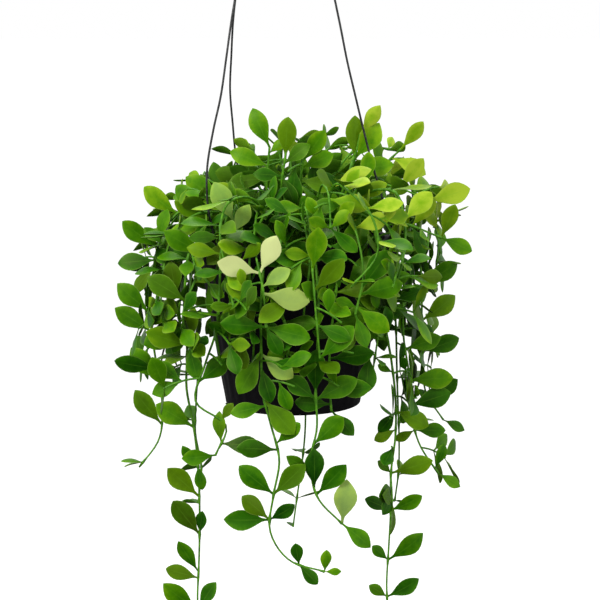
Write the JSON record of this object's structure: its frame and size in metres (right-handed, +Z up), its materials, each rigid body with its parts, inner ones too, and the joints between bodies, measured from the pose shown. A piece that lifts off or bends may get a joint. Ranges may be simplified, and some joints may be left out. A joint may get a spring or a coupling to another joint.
{
  "type": "hanging pot plant",
  "caption": "Trailing dischidia plant with fleshy paired leaves in a tapered plastic pot, hung from a wire hook.",
  "frame": {"origin": "the place inside the top of the hook where the plant hangs", "axes": "+Z up, +X to the right seen from the front, +Y away from the front"},
  "size_m": [0.2775, 0.2589, 0.7262],
  "materials": {
    "pot_plastic": "matt black moulded plastic with faint upright ribs",
    "soil": "rough coir and bark potting mix",
    "hanger_wire": "dark grey coated steel wire",
    "leaves": "fleshy green leaves and stems with a soft waxy sheen"
  },
  "bodies": {
    "root": {"hanger_hook": "hanger_wire", "hanger_wire_back": "hanger_wire", "hanger_wire_left": "hanger_wire", "hanger_wire_right": "hanger_wire", "pot": "pot_plastic", "soil": "soil", "spray_fall_1": "leaves", "spray_fall_2": "leaves", "spray_fall_3": "leaves", "spray_fall_4": "leaves", "spray_fall_5": "leaves", "spray_front_low": "leaves", "spray_front_middle": "leaves", "spray_front_pale": "leaves", "spray_front_right": "leaves", "spray_front_upper": "leaves", "spray_high_1": "leaves", "spray_high_2": "leaves", "spray_high_3": "leaves", "spray_high_4": "leaves", "spray_high_5": "leaves", "spray_high_6": "leaves", "spray_left_far": "leaves", "spray_left_front": "leaves", "spray_left_low": "leaves", "spray_left_top": "leaves", "spray_low_1": "leaves", "spray_low_10": "leaves", "spray_low_2": "leaves", "spray_low_3": "leaves", "spray_low_4": "leaves", "spray_low_5": "leaves", "spray_low_6": "leaves", "spray_low_7": "leaves", "spray_low_8": "leaves", "spray_low_9": "leaves", "spray_right_long": "leaves", "spray_right_low": "leaves", "spray_right_tall": "leaves", "spray_right_top": "leaves", "spray_top_left": "leaves", "spray_top_middle": "leaves", "spray_top_right": "leaves", "spray_upright_1": "leaves", "spray_upright_2": "leaves", "spray_upright_3": "leaves", "trail_back_1": "leaves", "trail_back_2": "leaves", "trail_back_3": "leaves", "trail_back_4": "leaves", "trail_back_5": "leaves", "trail_centre": "leaves", "trail_centre_right": "leaves", "trail_far_left": "leaves", "trail_far_right": "leaves", "trail_left": "leaves", "trail_left_inner": "leaves", "trail_right": "leaves", "trail_right_outer": "leaves"}
  },
  "joints": []
}
